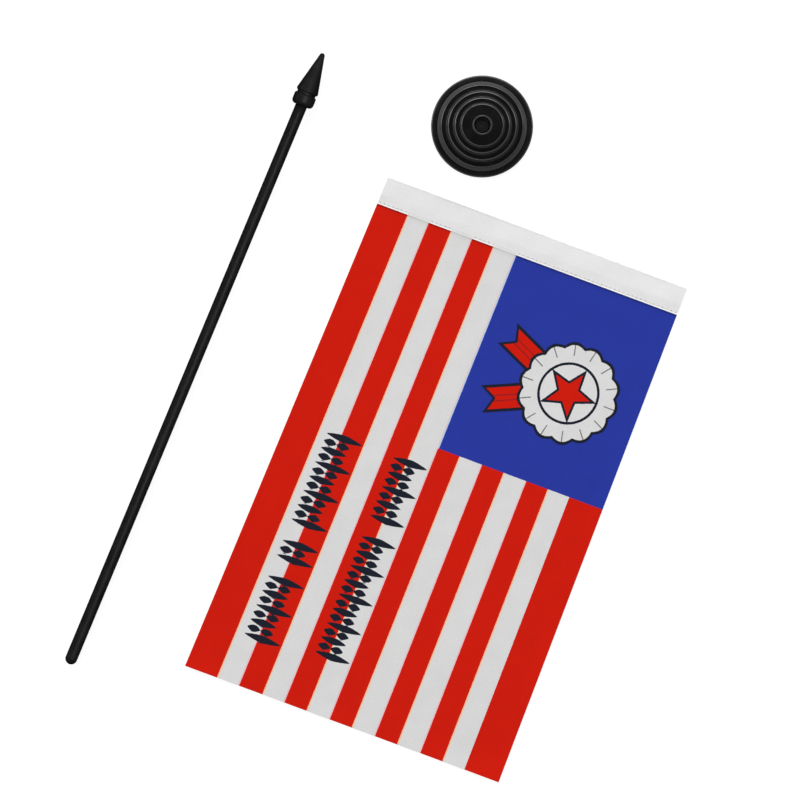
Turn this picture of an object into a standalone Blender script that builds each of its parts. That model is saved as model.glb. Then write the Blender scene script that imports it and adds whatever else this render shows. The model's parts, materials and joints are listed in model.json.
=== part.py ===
"""Desk flag stand, taken apart and laid out on a table: a base, a pole with a finial, and a flag.

Metres, +Z up. The origin is the centre of the base's underside, on the table top (z = 0).
The base stands at the origin. The pole lies on the table to the left, spear pointing away,
resting on its round foot and on the widest ring of its finial. The flag lies flat, its sleeve
towards the base, and its printed cloth runs towards -Y.
"""
import math

import bmesh
import bpy
from mathutils import Vector

MM = 0.001
FIT_GAP = 0.3 * MM  # between faces that touch on the real object

# Pole and finial
ROD_RADIUS = 2.72 * MM
ROD_LENGTH = 273.3 * MM  # round foot to the finial's underside
SPIGOT_RADIUS = 1.7 * MM
SPIGOT_LENGTH = 9.0 * MM
COLLAR_RADIUS = 5.1 * MM
COLLAR_HEIGHT = 5.45 * MM
COLLAR_LOWER_ROUND = 1.9 * MM
COLLAR_UPPER_ROUND = 0.9 * MM
NECK_DEPTH = 0.75 * MM
NECK_HEIGHT = 0.8 * MM
CONE_RADIUS = 5.1 * MM
CONE_LENGTH = 19.4 * MM
CONE_EDGE_ROUND = 1.0 * MM
CONE_TIP_RADIUS = 1.2 * MM

# Base
BASE_RADIUS = 23.05 * MM
RIM_HEIGHT = 2.1 * MM
RIM_ROUND = 0.7 * MM
FLANGE_WIDTH = 2.3 * MM
FLANGE_RISE = 0.6 * MM
FLARE_RADIUS = 1.9 * MM  # the lowest tier flares out into the flange
TIER_COUNT = 4
TIER_STEP = 3.05 * MM
TIER_RISE = 3.75 * MM
TIER_ROUND = 0.9 * MM
TIER_BATTER = 0.35 * MM  # how far a riser leans in
TIER_COVE = 0.4 * MM
CROWN_RISE = 0.35 * MM
CROWN_THICKNESS = 2.2 * MM
MOUTH_BEAD_RADIUS = 0.45 * MM
MOUTH_BEAD_OFFSET = 0.95 * MM  # socket wall to the bead's crest
MOUTH_BEAD_FOOT = 0.75 * MM  # bead's crest to where the crown begins
SOCKET_CLEARANCE = 0.4 * MM
SOCKET_FLOOR = 2.4 * MM
BOSS_WALL = 1.6 * MM
RIM_WALL = 1.8 * MM
SHELL_RUN = 2.1 * MM  # the dome's wall, measured level from a tread's inner corner
ROOF_WIDTH = 1.0 * MM  # least width left for the hollow's roof beside the boss
FLANGE_THICKNESS = 1.5 * MM
RIB_COUNT = 6
RIB_THICKNESS = 1.2 * MM
RIB_LIFT = 0.6 * MM

# Flag
CLOTH = 0.4 * MM  # hem cloth, drawn thick enough to stay solid
FIELD_THICKNESS = 0.5 * MM
HOIST_WIDTH = 144.3 * MM
FREE_WIDTH = 151.3 * MM
FREE_SHIFT = -5.6 * MM  # the free end's middle, measured along the hoist
FLAG_LENGTH = 239.0 * MM
SLEEVE_EASE = 0.55 * MM  # extra radius inside the sleeve, over the rod
SEAM_STRIP = 2.0 * MM
SEAM_HEIGHT = 2 * CLOTH
SEAM_SLOPE = 1.2 * MM  # over which the upper layer comes down to the seam
STITCH_INSET = 1.0 * MM
STITCH_LENGTH = 2.1 * MM
THREAD_WIDTH = 0.35 * MM
THREAD_HEIGHT = 0.25 * MM
THREAD_DIP = 0.1 * MM
END_MARGIN = 1.0 * MM  # bare seam at each end of the thread
CUTTER_OVERRUN = 2.0 * MM

# Layout on the table
FLAG_TURN = math.radians(-20.4)
FLAG_GAP = 13.4 * MM  # base rim to hoist edge
BASE_ALONG_HOIST = 31.8 * MM  # flag's near corner to the base's centre
POLE_BEARING = math.radians(22.61)  # from +Y towards +X
POLE_STANDOFF = 49.4 * MM  # free end's near corner to the pole's foot
POLE_OVERHANG = 17.45 * MM  # the foot's place past the free end

# Worked out
SOCKET_RADIUS = ROD_RADIUS + SOCKET_CLEARANCE
MOUTH_RADIUS = SOCKET_RADIUS + MOUTH_BEAD_OFFSET
BOSS_RADIUS = SOCKET_RADIUS + BOSS_WALL
FLANGE_TOP = RIM_HEIGHT + FLANGE_RISE
FLANGE_INNER = BASE_RADIUS - FLANGE_WIDTH
FIRST_TIER_RADIUS = FLANGE_INNER - FLARE_RADIUS
CROWN_HEIGHT = FLANGE_TOP + TIER_COUNT * TIER_RISE
SLEEVE_HEIGHT = 4 * CLOTH
SLEEVE_FLAT = math.pi * (ROD_RADIUS + SLEEVE_EASE)  # a round tube of this radius, pressed flat
SLEEVE_DEPTH = CLOTH + SLEEVE_FLAT + SEAM_STRIP
FIELD_TOP = SLEEVE_DEPTH + FIT_GAP
HINGE_DEPTH = SLEEVE_DEPTH + FIT_GAP / 2

RING_STEPS = 64
ROD_STEPS = 32


def clear_scene():
    for existing in list(bpy.data.objects):
        bpy.data.objects.remove(existing, do_unlink=True)


def matte(name, colour, roughness):
    material = bpy.data.materials.new(name)
    material.use_nodes = True
    shader = material.node_tree.nodes["Principled BSDF"]
    shader.inputs["Base Color"].default_value = (*colour, 1.0)
    shader.inputs["Roughness"].default_value = roughness
    shader.inputs["Metallic"].default_value = 0.0
    return material


def add_object(name, mesh, material, parent=None):
    mesh.materials.append(material)
    piece = bpy.data.objects.new(name, mesh)
    piece.parent = parent
    bpy.context.collection.objects.link(piece)
    return piece


def add_empty(name, location, rotation):
    empty = bpy.data.objects.new(name, None)
    empty.location = location
    empty.rotation_mode = "QUATERNION"
    empty.rotation_quaternion = rotation
    bpy.context.collection.objects.link(empty)
    return empty


def arc(centre, radius, start, end, steps):
    """Points on an arc, angles in degrees, from start to end."""
    points = []
    for i in range(steps + 1):
        angle = math.radians(start + (end - start) * i / steps)
        points.append((centre[0] + radius * math.cos(angle), centre[1] + radius * math.sin(angle)))
    return points


def turned(name, outline, steps):
    """A closed solid of revolution about Z. The outline runs (radius, z) from axis to axis."""
    bm = bmesh.new()
    verts = [bm.verts.new((radius, 0.0, z)) for radius, z in outline]
    edges = [bm.edges.new(pair) for pair in zip(verts, verts[1:])]
    bmesh.ops.spin(bm, geom=verts + edges, cent=(0, 0, 0), axis=(0, 0, 1),
                   angle=math.tau, steps=steps, use_merge=True)
    bmesh.ops.remove_doubles(bm, verts=bm.verts, dist=1e-7)
    bmesh.ops.recalc_face_normals(bm, faces=bm.faces)
    mesh = bpy.data.meshes.new(name)
    bm.to_mesh(mesh)
    bm.free()
    mesh.shade_smooth()
    mesh.set_sharp_from_angle(angle=math.radians(35))
    return mesh


def extruded(name, rings):
    """A tube or bar skinned through rings of the same number of points. The ends are capped."""
    bm = bmesh.new()
    rows = [[bm.verts.new(point) for point in ring] for ring in rings]
    for near, far in zip(rows, rows[1:]):
        for i, corner in enumerate(near):
            j = (i + 1) % len(near)
            bm.faces.new((corner, near[j], far[j], far[i]))
    bm.faces.new(rows[0])
    bm.faces.new(rows[-1])
    bmesh.ops.recalc_face_normals(bm, faces=bm.faces)
    mesh = bpy.data.meshes.new(name)
    bm.to_mesh(mesh)
    bm.free()
    return mesh


# ---------------------------------------------------------------- base

def tier_radius(i):
    return FIRST_TIER_RADIUS - i * TIER_STEP


def tier_height(i):
    return FLANGE_TOP + (i + 1) * TIER_RISE


def base_top_outline():
    """Rim, flange, rounded tiers and crown, from the table up to the socket's mouth."""
    points = [(BASE_RADIUS, 0.0)]
    points += arc((BASE_RADIUS - RIM_ROUND, RIM_HEIGHT - RIM_ROUND), RIM_ROUND, 0, 80, 3)
    points += arc((FLANGE_INNER, FLANGE_TOP + FLARE_RADIUS), FLARE_RADIUS, 270, 190, 4)
    for i in range(TIER_COUNT):
        if i > 0:
            corner = tier_radius(i) + TIER_BATTER
            points.append((corner + TIER_COVE, tier_height(i - 1)))
            points.append((corner, tier_height(i - 1) + TIER_COVE))
        shoulder = (tier_radius(i) - TIER_ROUND, tier_height(i) - TIER_ROUND)
        points += arc(shoulder, TIER_ROUND, 10, 90, 4)
    bead = (MOUTH_RADIUS, CROWN_HEIGHT + CROWN_RISE)
    points.append((MOUTH_RADIUS + MOUTH_BEAD_FOOT, CROWN_HEIGHT + CROWN_RISE))
    points += arc(bead, MOUTH_BEAD_RADIUS, 10, 170, 4)
    points.append((SOCKET_RADIUS, CROWN_HEIGHT))
    return points


def base_underside_outline():
    """Hollow under the dome, from the socket boss's foot out to the rim's foot."""
    corner_radius = tier_radius(TIER_COUNT - 1) + TIER_BATTER + TIER_COVE - SHELL_RUN
    corner_height = tier_height(TIER_COUNT - 2)
    run = TIER_STEP / TIER_RISE
    meets_boss = corner_height + (corner_radius - BOSS_RADIUS - ROOF_WIDTH) / run
    roof = min(CROWN_HEIGHT - CROWN_THICKNESS, meets_boss)
    eaves = FLANGE_TOP - FLANGE_THICKNESS
    return [
        (0.0, 0.0),
        (BOSS_RADIUS, 0.0),
        (BOSS_RADIUS, roof),
        (corner_radius - run * (roof - corner_height), roof),
        (corner_radius + run * (corner_height - eaves), eaves),
        (BASE_RADIUS - RIM_WALL, eaves),
        (BASE_RADIUS - RIM_WALL, 0.0),
    ]


def rib_cage():
    """Radial ribs between the boss and the shell, as one closed star that a union takes in."""
    bm = bmesh.new()
    inner = BOSS_RADIUS - BOSS_WALL / 2
    outer = BASE_RADIUS - RIM_WALL / 2
    shell_top = FLANGE_TOP - FLANGE_THICKNESS / 2
    peak = tier_height(TIER_COUNT - 2)
    crest = tier_radius(TIER_COUNT - 1)
    for i in range(RIB_COUNT):
        angle = math.tau * i / RIB_COUNT
        along = Vector((math.cos(angle), math.sin(angle), 0))
        across = Vector((-math.sin(angle), math.cos(angle), 0)) * RIB_THICKNESS / 2
        side = [(inner, RIB_LIFT), (outer, RIB_LIFT), (outer, shell_top), (tier_radius(0), shell_top),
                (crest, peak), (inner, peak)]
        left = [bm.verts.new(along * r + across + Vector((0, 0, z))) for r, z in side]
        right = [bm.verts.new(along * r - across + Vector((0, 0, z))) for r, z in side]
        bm.faces.new(left)
        bm.faces.new(right)
        for j, corner in enumerate(left):
            k = (j + 1) % len(left)
            bm.faces.new((corner, left[k], right[k], right[j]))
    bmesh.ops.recalc_face_normals(bm, faces=bm.faces)
    mesh = bpy.data.meshes.new("rib_cage")
    bm.to_mesh(mesh)
    bm.free()
    return mesh


def stand_base():
    outline = [(0.0, SOCKET_FLOOR), (SOCKET_RADIUS, SOCKET_FLOOR)]
    outline += reversed(base_top_outline())
    outline += reversed(base_underside_outline())
    material = matte("base_plastic", (0.012, 0.012, 0.014), 0.38)
    base = add_object("stand_base", turned("stand_base", outline, RING_STEPS), material)
    ribs = add_object("rib_cage", rib_cage(), material, base)
    ribs.hide_render = True
    ribs.display_type = "WIRE"
    union = base.modifiers.new("ribs", "BOOLEAN")
    union.operation = "UNION"
    union.solver = "EXACT"
    union.object = ribs
    return base


# ---------------------------------------------------------------- pole and finial

def pole_tilt():
    """The rise of the pole's axis, because it lies on its foot and on its finial's collar."""
    reach = ROD_LENGTH - ROD_RADIUS + COLLAR_LOWER_ROUND
    return math.acos(ROD_RADIUS / math.hypot(COLLAR_RADIUS, reach)) - math.atan2(reach, COLLAR_RADIUS)


def pole_layout():
    """An empty at the centre of the pole's round foot, its +Z along the pole."""
    along = Vector((math.cos(FLAG_TURN), math.sin(FLAG_TURN), 0))
    down = Vector((math.sin(FLAG_TURN), -math.cos(FLAG_TURN), 0))
    free_corner = along * (FREE_SHIFT + (HOIST_WIDTH - FREE_WIDTH) / 2) + down * FLAG_LENGTH
    foot_tip = flag_corner() + free_corner - along * POLE_STANDOFF + down * POLE_OVERHANG
    tilt = pole_tilt()
    direction = Vector((math.sin(POLE_BEARING) * math.cos(tilt),
                        math.cos(POLE_BEARING) * math.cos(tilt), math.sin(tilt)))
    foot_centre = foot_tip + direction * ROD_RADIUS
    foot_centre.z = ROD_RADIUS
    return add_empty("pole_layout", foot_centre, direction.to_track_quat("Z", "Y"))


def pole_rod(layout):
    """A plain rod with a ball-round foot and, past its shoulder, the spigot that holds the finial."""
    shoulder = ROD_LENGTH - ROD_RADIUS - FIT_GAP
    tip = shoulder + SPIGOT_LENGTH
    chamfer = 0.4 * MM
    outline = arc((0, 0), ROD_RADIUS, -90, 0, 6)
    outline[0] = (0.0, -ROD_RADIUS)
    outline += [(ROD_RADIUS, shoulder), (SPIGOT_RADIUS, shoulder), (SPIGOT_RADIUS, tip - chamfer),
                (SPIGOT_RADIUS - chamfer, tip), (0.0, tip)]
    material = matte("pole_plastic", (0.010, 0.010, 0.010), 0.45)
    return add_object("pole_rod", turned("pole_rod", outline, ROD_STEPS), material, layout)


def finial_outline():
    """Outside of the finial from its underside to its tip: collar, neck and cone."""
    low, high = COLLAR_LOWER_ROUND, COLLAR_UPPER_ROUND
    neck_radius = CONE_RADIUS - NECK_DEPTH
    cone_foot = COLLAR_HEIGHT + NECK_HEIGHT
    cone_top = cone_foot + CONE_LENGTH
    lean = math.atan2(CONE_RADIUS - CONE_TIP_RADIUS, CONE_LENGTH - CONE_TIP_RADIUS)
    lean_deg = math.degrees(lean)
    points = arc((COLLAR_RADIUS - low, low), low, -90, 0, 5)
    points += arc((COLLAR_RADIUS - high, COLLAR_HEIGHT - high), high, 0, 90, 3)
    points += [(neck_radius, COLLAR_HEIGHT), (neck_radius, cone_foot)]
    edge = (CONE_RADIUS - CONE_EDGE_ROUND, cone_foot + CONE_EDGE_ROUND)
    points += arc(edge, CONE_EDGE_ROUND, -80, lean_deg, 4)
    points += arc((0, cone_top - CONE_TIP_RADIUS), CONE_TIP_RADIUS, lean_deg, 90, 4)
    points[-1] = (0.0, cone_top)
    return points


def spear_finial(layout):
    """A pointed cap with a blind socket that pushes over the rod's spigot."""
    bore = SPIGOT_RADIUS + FIT_GAP
    depth = SPIGOT_LENGTH + FIT_GAP
    outline = [(0.0, depth), (bore, depth), (bore, 0.0)] + finial_outline()
    material = matte("finial_plastic", (0.010, 0.010, 0.011), 0.42)
    finial = add_object("spear_finial", turned("spear_finial", outline, ROD_STEPS), material, layout)
    finial.location.z = ROD_LENGTH - ROD_RADIUS
    return finial


# ---------------------------------------------------------------- flag

def flag_corner():
    """The hoist edge's corner nearest the pole."""
    along = Vector((math.cos(FLAG_TURN), math.sin(FLAG_TURN), 0))
    down = Vector((math.sin(FLAG_TURN), -math.cos(FLAG_TURN), 0))
    return down * (BASE_RADIUS + FLAG_GAP) - along * BASE_ALONG_HOIST


def flag_layout():
    """An empty at that corner: +X runs along the hoist, -Y down the flag."""
    turn = Vector((math.cos(FLAG_TURN), math.sin(FLAG_TURN), 0)).to_track_quat("X", "Z")
    return add_empty("flag_layout", flag_corner(), turn)


def side_at(depth, far):
    """Where the flag's side edge lies along the hoist, at a depth below the hoist edge."""
    hoist = HOIST_WIDTH if far else 0.0
    free_middle = HOIST_WIDTH / 2 + FREE_SHIFT
    free = free_middle + (FREE_WIDTH / 2 if far else -FREE_WIDTH / 2)
    return hoist + (free - hoist) * depth / FLAG_LENGTH


def along_hoist(section, overrun):
    """A cross-section of (depth, z) points, set at both side edges of the flag."""
    near = [(side_at(v, False) - overrun, -v, z) for v, z in section]
    far = [(side_at(v, True) + overrun, -v, z) for v, z in section]
    return [near, far]


def flag_sleeve(layout):
    """The hem at the hoist: a tube of cloth pressed flat, open at both ends, closed by its seam."""
    fold = (SLEEVE_HEIGHT / 2, SLEEVE_HEIGHT / 2)
    flat_end = SLEEVE_DEPTH - SEAM_STRIP
    outer = arc(fold, SLEEVE_HEIGHT / 2, 90, 270, 4)
    outer += [(SLEEVE_DEPTH, 0.0), (SLEEVE_DEPTH, SEAM_HEIGHT),
              (flat_end + SEAM_SLOPE / 2, SEAM_HEIGHT), (flat_end - SEAM_SLOPE / 2, SLEEVE_HEIGHT)]
    inner = arc(fold, SLEEVE_HEIGHT / 2 - CLOTH, 90, 270, 4)
    inner += [(flat_end - SEAM_SLOPE, CLOTH), (flat_end, SEAM_HEIGHT - CLOTH / 2),
              (flat_end - SEAM_SLOPE, SLEEVE_HEIGHT - CLOTH)]
    cloth = matte("sleeve_cloth", (0.80, 0.79, 0.79), 0.85)
    sleeve = add_object("flag_sleeve", extruded("flag_sleeve", along_hoist(outer, 0.0)), cloth, layout)
    channel_mesh = extruded("sleeve_channel", along_hoist(inner, CUTTER_OVERRUN))
    channel = add_object("sleeve_channel", channel_mesh, cloth, layout)
    channel.hide_render = True
    channel.display_type = "WIRE"
    cut = sleeve.modifiers.new("channel", "BOOLEAN")
    cut.operation = "DIFFERENCE"
    cut.solver = "EXACT"
    cut.object = channel
    return sleeve


def flag_field(layout):
    """The printed cloth, from the seam to the free end. Its origin is on the seam it swings about."""
    hinge = Vector((0.0, -HINGE_DEPTH, SEAM_HEIGHT))
    rings = []
    for depth in (FIELD_TOP, FLAG_LENGTH):
        left, right = side_at(depth, False), side_at(depth, True)
        section = [(left, 0.0), (right, 0.0), (right, FIELD_THICKNESS), (left, FIELD_THICKNESS)]
        rings.append([Vector((x, -depth, z)) - hinge for x, z in section])
    mesh = extruded("flag_field", rings)
    field = add_object("flag_field", mesh, matte("field_cloth", (0.62, 0.05, 0.03), 0.85), layout)
    field.location = hinge
    return field


def seam_thread(layout):
    """One line of stitches along the seam. The thread dips where the needle took it down."""
    depth = SLEEVE_DEPTH - STITCH_INSET
    start = side_at(depth, False) + END_MARGIN
    length = side_at(depth, True) - END_MARGIN - start
    half_stitches = 2 * round(length / STITCH_LENGTH)
    low = SEAM_HEIGHT + FIT_GAP
    rings = []
    for i in range(half_stitches + 1):
        x = start + length * i / half_stitches
        high = low + THREAD_HEIGHT - (THREAD_DIP if i % 2 == 0 else 0.0)
        near, far = -depth - THREAD_WIDTH / 2, -depth + THREAD_WIDTH / 2
        rings.append([(x, near, low), (x, far, low), (x, far, high), (x, near, high)])
    mesh = extruded("seam_thread", rings)
    return add_object("seam_thread", mesh, matte("seam_thread", (0.75, 0.75, 0.74), 0.8), layout)


def main():
    clear_scene()
    stand_base()
    pole = pole_layout()
    pole_rod(pole)
    spear_finial(pole)
    flag = flag_layout()
    flag_sleeve(flag)
    flag_field(flag)
    seam_thread(flag)


main()
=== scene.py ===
"""Looks of the desk flag stand: a black stepped base, a black pole with its spear finial, and a
printed cloth flag, laid out flat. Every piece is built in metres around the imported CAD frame."""
import json
import math

import bmesh
import bpy
import numpy as np
from mathutils import Matrix, Vector


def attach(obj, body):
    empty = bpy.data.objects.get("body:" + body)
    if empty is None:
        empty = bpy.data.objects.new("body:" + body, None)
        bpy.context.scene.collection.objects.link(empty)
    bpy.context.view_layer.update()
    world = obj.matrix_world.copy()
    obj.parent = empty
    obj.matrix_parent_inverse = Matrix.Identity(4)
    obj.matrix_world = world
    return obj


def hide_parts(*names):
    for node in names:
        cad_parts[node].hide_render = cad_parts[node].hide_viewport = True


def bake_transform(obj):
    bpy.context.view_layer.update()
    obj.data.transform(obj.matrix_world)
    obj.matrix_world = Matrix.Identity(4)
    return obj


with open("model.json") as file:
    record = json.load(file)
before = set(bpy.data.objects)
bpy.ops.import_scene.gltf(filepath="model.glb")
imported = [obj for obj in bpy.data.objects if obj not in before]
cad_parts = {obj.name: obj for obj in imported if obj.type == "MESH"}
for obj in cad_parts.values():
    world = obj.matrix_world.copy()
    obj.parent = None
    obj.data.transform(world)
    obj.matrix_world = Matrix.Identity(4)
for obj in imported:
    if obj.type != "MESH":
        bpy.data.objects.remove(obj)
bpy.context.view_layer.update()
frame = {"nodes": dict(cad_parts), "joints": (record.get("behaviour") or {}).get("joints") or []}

MM = 0.001
UP = Vector((0, 0, 1))
JOINTS = {joint["name"]: joint for joint in frame["joints"]}


# ---------------------------------------------------------------- meshes

def add_piece(name, points, faces, material, smooth=True):
    mesh = bpy.data.meshes.new(name)
    mesh.from_pydata([tuple(p) for p in points], [], faces)
    mesh.materials.append(material)
    bm = bmesh.new()
    bm.from_mesh(mesh)
    bmesh.ops.recalc_face_normals(bm, faces=bm.faces)
    bm.to_mesh(mesh)
    bm.free()
    if smooth:
        mesh.shade_smooth()
        mesh.set_sharp_from_angle(angle=math.radians(50))
    piece = bpy.data.objects.new(name, mesh)
    bpy.context.scene.collection.objects.link(piece)
    return piece


def arc(centre, radius, start, end, steps):
    """(radius, height) points on an arc, angles in degrees."""
    angles = np.radians(np.linspace(start, end, steps + 1))
    return [(centre[0] + radius * math.cos(a), centre[1] + radius * math.sin(a)) for a in angles]


def turned(outline, steps):
    """Points and faces of a solid of revolution about Z. The outline runs from axis to axis."""
    points = [(0.0, 0.0, outline[0][1])]
    rings = []
    for radius, height in outline[1:-1]:
        rings.append(len(points))
        for i in range(steps):
            angle = math.tau * i / steps
            points.append((radius * math.cos(angle), radius * math.sin(angle), height))
    last = len(points)
    points.append((0.0, 0.0, outline[-1][1]))
    faces = []
    for i in range(steps):
        j = (i + 1) % steps
        faces.append((0, rings[0] + i, rings[0] + j))
        faces.append((last, rings[-1] + j, rings[-1] + i))
        for near, far in zip(rings, rings[1:]):
            faces.append((near + i, near + j, far + j, far + i))
    return points, faces


def finish_piece(piece, body, slot, *nodes):
    """Rides on a CAD body and stands for CAD nodes. The slot argument is not used."""
    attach(piece, body)
    if nodes:
        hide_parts(*nodes)
    return piece


# ---------------------------------------------------------------- materials

class Graph:
    """Short ways to make and join the shader nodes of one material."""

    def __init__(self, name):
        self.material = bpy.data.materials.new(name)
        self.material.use_nodes = True
        self.tree = self.material.node_tree
        self.shader = self.tree.nodes["Principled BSDF"]

    @classmethod
    def of_tree(cls, tree):
        made = cls.__new__(cls)
        made.tree = tree
        return made

    def put(self, value, socket):
        if isinstance(value, bpy.types.NodeSocket):
            self.tree.links.new(value, socket)
        elif isinstance(value, tuple) and len(value) == 3 and socket.type == "RGBA":
            socket.default_value = (*value, 1.0)
        else:
            socket.default_value = value

    def node(self, kind, **settings):
        made = self.tree.nodes.new("ShaderNode" + kind)
        for key, value in settings.items():
            setattr(made, key, value)
        return made

    def math(self, operation, a, b=0.0, c=0.0):
        made = self.node("Math", operation=operation)
        for value, socket in zip((a, b, c), made.inputs):
            self.put(value, socket)
        return made.outputs[0]

    def add(self, a, b):
        return self.math("ADD", a, b)

    def less(self, a, b):
        return self.math("LESS_THAN", a, b)

    def more(self, a, b):
        return self.math("GREATER_THAN", a, b)

    def times(self, *values):
        product = values[0]
        for value in values[1:]:
            product = self.math("MULTIPLY", product, value)
        return product

    def between(self, value, low, high):
        return self.times(self.more(value, low), self.less(value, high))

    def mix(self, share, a, b, blend="MIX"):
        made = self.node("Mix", data_type="RGBA", blend_type=blend)
        self.put(share, made.inputs["Factor"])
        self.put(a, made.inputs[6])
        self.put(b, made.inputs[7])
        return made.outputs[2]

    def noise(self, place, scale, detail=2.0, roughness=0.5):
        made = self.node("TexNoise")
        self.put(place, made.inputs["Vector"])
        made.inputs["Scale"].default_value = scale
        made.inputs["Detail"].default_value = detail
        made.inputs["Roughness"].default_value = roughness
        return made.outputs["Fac"]

    def ramp(self, value, stops, interpolation="LINEAR"):
        made = self.node("ValToRGB")
        made.color_ramp.interpolation = interpolation
        elements = made.color_ramp.elements
        while len(elements) < len(stops):
            elements.new(1.0)
        for element, (position, colour) in zip(elements, stops):
            element.position = position
            element.color = (*colour, 1.0)
        self.put(value, made.inputs[0])
        return made.outputs[0]

    def range(self, value, low, high, to_low, to_high):
        made = self.node("MapRange")
        for number, socket in zip((low, high, to_low, to_high), list(made.inputs)[1:5]):
            socket.default_value = number
        self.put(value, made.inputs[0])
        return made.outputs[0]

    def xyz(self, vector):
        made = self.node("SeparateXYZ")
        self.put(vector, made.inputs[0])
        return made.outputs

    def object_place(self):
        return self.node("TexCoord").outputs["Object"]

    def bump(self, height, strength, distance):
        made = self.node("Bump")
        made.inputs["Strength"].default_value = strength
        made.inputs["Distance"].default_value = distance
        self.put(height, made.inputs["Height"])
        self.put(made.outputs[0], self.shader.inputs["Normal"])


def linear(red, green, blue):
    """A scene colour from 0 to 255 screen values."""
    return tuple((v / 12.92) if v <= 0.04045 else ((v + 0.055) / 1.055) ** 2.4
                 for v in (red / 255, green / 255, blue / 255))


def grey(level):
    return (level, level, level)


PLASTIC_GRAIN = 0.06 * MM  # how deep the grain of the plastic is
WEAVE_DEPTH = 0.04 * MM  # and the weave of the cloth and the thread


def moulded_plastic(name, colour, roughness, specular, grain):
    """Black moulded plastic: flow mottling, fine grain, and roughness that varies a little."""
    g = Graph(name)
    place = g.object_place()
    mottle = g.noise(place, 160, 4, 0.6)
    fine = g.noise(place, 1500, 3, 0.6)
    pale = tuple(v * 1.9 for v in colour)
    deep = tuple(v * 0.55 for v in colour)
    g.put(g.ramp(mottle, [(0.3, deep), (0.5, colour), (0.72, pale)]), g.shader.inputs["Base Color"])
    rough = g.add(g.range(mottle, 0.3, 0.7, roughness * 0.85, roughness * 1.15),
                  g.range(fine, 0.3, 0.7, -0.02, 0.02))
    g.put(rough, g.shader.inputs["Roughness"])
    g.shader.inputs["Specular IOR Level"].default_value = specular
    g.bump(fine, grain, PLASTIC_GRAIN)
    return g


# ---------------------------------------------------------------- base

BASE_RADIUS = 23.05 * MM
RIM_HEIGHT = 2.32 * MM
RIM_ROUND = 0.7 * MM
FLANGE_TOP = 2.7 * MM
FLANGE_INNER = 20.75 * MM
FLARE_RUN = 1.9 * MM
TIER_COUNT = 4
TIER_STEP = 3.05 * MM
TIER_RISE = 3.75 * MM
TIER_ROUNDS = (0.7 * MM, 0.95 * MM, 0.95 * MM, 0.7 * MM)
TIER_BATTER = 0.35 * MM
TIER_COVE = 0.4 * MM
TIER_CREASE = 0.1 * MM
BEVEL_FOOT = 20.3 * MM
BEVEL_RISE = 0.46 * MM
BEVEL_WALL = 0.1 * MM
FLANGE_GROOVE_WIDTH = 0.5 * MM
FLANGE_GROOVE_DEPTH = 0.22 * MM
CROWN_RISE = 0.35 * MM
CROWN_THICKNESS = 2.2 * MM
MOUTH_BEAD_RADIUS = 0.38 * MM
MOUTH_BEAD_FOOT = 0.75 * MM
MOUTH_CHAMFER = 1.1 * MM
SOCKET_RADIUS = 3.12 * MM
SOCKET_FLOOR = 2.4 * MM
MOUTH_RADIUS = 4.07 * MM
BOSS_RADIUS = 4.72 * MM
RIM_WALL = 1.8 * MM
SHELL_RUN = 2.1 * MM
FLANGE_THICKNESS = 1.5 * MM
RIB_COUNT = 6
RIB_THICKNESS = 1.2 * MM
RIB_LIFT = 0.6 * MM
RIB_ROOT = 0.3 * MM  # how far a rib runs into the boss and the shell
FOOT_CHAMFER = 0.25 * MM
FLANGE_FALL = 0.1 * MM  # from the first tier out to the flange's groove
GROOVE_LEAN = 0.02 * MM  # of the flange groove's walls
GROOVE_PITCH = 0.85 * MM
GROOVE_DEPTH = 0.035 * MM
CROWN_STEPS = 57
BASE_STEPS = 224
SOCKET_PAINTED_LIGHT_GREY = 0.06  # painted light: how pale the plastic inside the socket is painted, standing in for light that reaches into it


def tier_radius(i):
    return FLANGE_INNER - FLARE_RUN - i * TIER_STEP


def tier_height(i):
    return FLANGE_TOP + (i + 1) * TIER_RISE


def crown_outline():
    """The crown from the top tier's shoulder in to the mouth's bead, with fine turning grooves."""
    outer = tier_radius(TIER_COUNT - 1) - TIER_ROUNDS[-1]
    inner = MOUTH_RADIUS + MOUTH_BEAD_FOOT
    foot = tier_height(TIER_COUNT - 1)
    points = []
    for share in np.linspace(0, 1, CROWN_STEPS + 1)[1:-1]:
        radius = outer + (inner - outer) * share
        wave = 0.5 - 0.5 * math.cos(math.tau * (outer - radius) / GROOVE_PITCH)
        points.append((radius, foot + CROWN_RISE * share - GROOVE_DEPTH * wave))
    return points


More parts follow.
